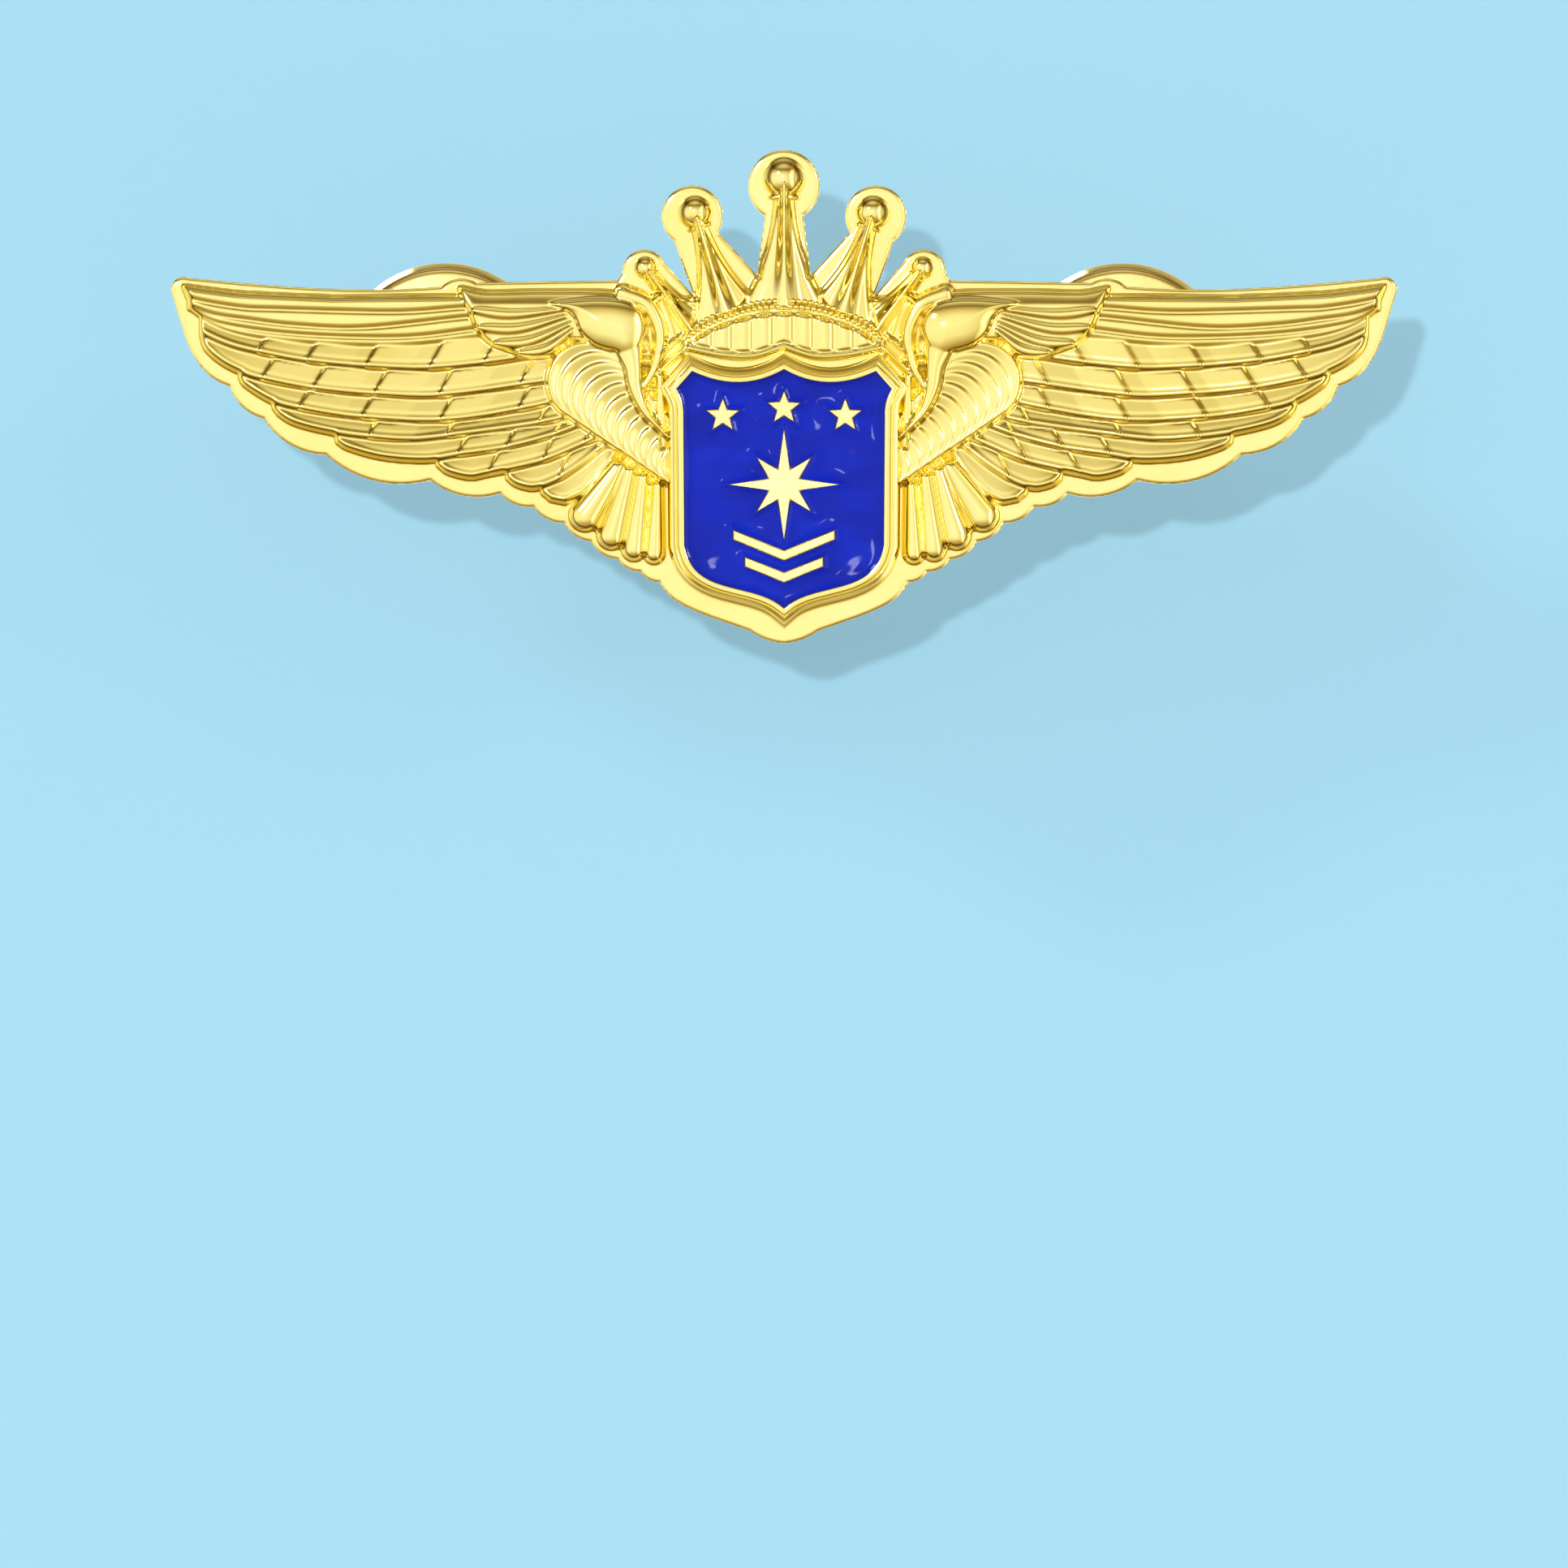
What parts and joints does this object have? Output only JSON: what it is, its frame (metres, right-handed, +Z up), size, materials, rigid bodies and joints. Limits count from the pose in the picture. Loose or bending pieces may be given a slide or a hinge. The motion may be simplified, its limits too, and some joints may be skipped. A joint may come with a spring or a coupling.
{
  "type": "pilot wings pin",
  "caption": "Gold relief wings badge with a crown and a blue enamel shield, worn on two needle posts with sprung butterfly clutches.",
  "frame": {"origin": "on the badge's flat back face, half way between the two needles", "axes": "+Z up with the crown on top, -Y out of the front, +Y along the needles into the cloth, +X to the right as seen from the front"},
  "size_m": [0.0642, 0.0128, 0.0259],
  "materials": {
    "gold_casting": "polished gold plating on the front, sand-blasted on the back",
    "blue_enamel": "glossy enamel",
    "gold_post": "polished gold plating",
    "gold_clutch": "polished gold plating on pressed sheet"
  },
  "bodies": {
    "badge": {"badge_casting": "gold_casting", "shield_enamel": "blue_enamel", "left_post_base": "gold_post", "left_post_needle": "gold_post", "right_post_base": "gold_post", "right_post_needle": "gold_post"},
    "left_clutch": {"left_clutch_cup": "gold_clutch", "left_clutch_bridge": "gold_clutch", "left_clutch_spring_base": "gold_clutch"},
    "left_wing_a": {"left_clutch_wing_a": "gold_clutch"},
    "left_wing_b": {"left_clutch_wing_b": "gold_clutch"},
    "right_clutch": {"right_clutch_cup": "gold_clutch", "right_clutch_bridge": "gold_clutch", "right_clutch_spring_base": "gold_clutch"},
    "right_wing_a": {"right_clutch_wing_a": "gold_clutch"},
    "right_wing_b": {"right_clutch_wing_b": "gold_clutch"}
  },
  "joints": [
    {"name": "left_clutch_slide", "type": "slide", "parent": "badge", "child": "left_clutch", "axis": [0, 1, 0], "range_m": [0, 0.012]},
    {"name": "left_wing_a_squeeze", "type": "hinge", "parent": "left_clutch", "child": "left_wing_a", "pos_m": [-0.01972, 0.00707, 0.00059], "axis": [-0.2924, 0, -0.9563], "range_deg": [0, 12], "stiffness_Nm_per_rad": 0.004},
    {"name": "left_wing_b_squeeze", "type": "hinge", "parent": "left_clutch", "child": "left_wing_b", "pos_m": [-0.01588, 0.00707, -0.00059], "axis": [0.2924, 0, 0.9563], "range_deg": [0, 12]},
    {"name": "right_clutch_slide", "type": "slide", "parent": "badge", "child": "right_clutch", "axis": [0, 1, 0], "range_m": [0, 0.012]},
    {"name": "right_wing_a_squeeze", "type": "hinge", "parent": "right_clutch", "child": "right_wing_a", "pos_m": [0.01588, 0.00707, 0.00059], "axis": [-0.2924, 0, -0.9563], "range_deg": [0, 12], "stiffness_Nm_per_rad": 0.004},
    {"name": "right_wing_b_squeeze", "type": "hinge", "parent": "right_clutch", "child": "right_wing_b", "pos_m": [0.01972, 0.00707, -0.00059], "axis": [0.2924, 0, 0.9563], "range_deg": [0, 12]}
  ],
  "couplings": [
    {"joint": "left_wing_b_squeeze", "follows": "left_wing_a_squeeze", "ratio": 1},
    {"joint": "right_wing_b_squeeze", "follows": "right_wing_a_squeeze", "ratio": 1}
  ]
}
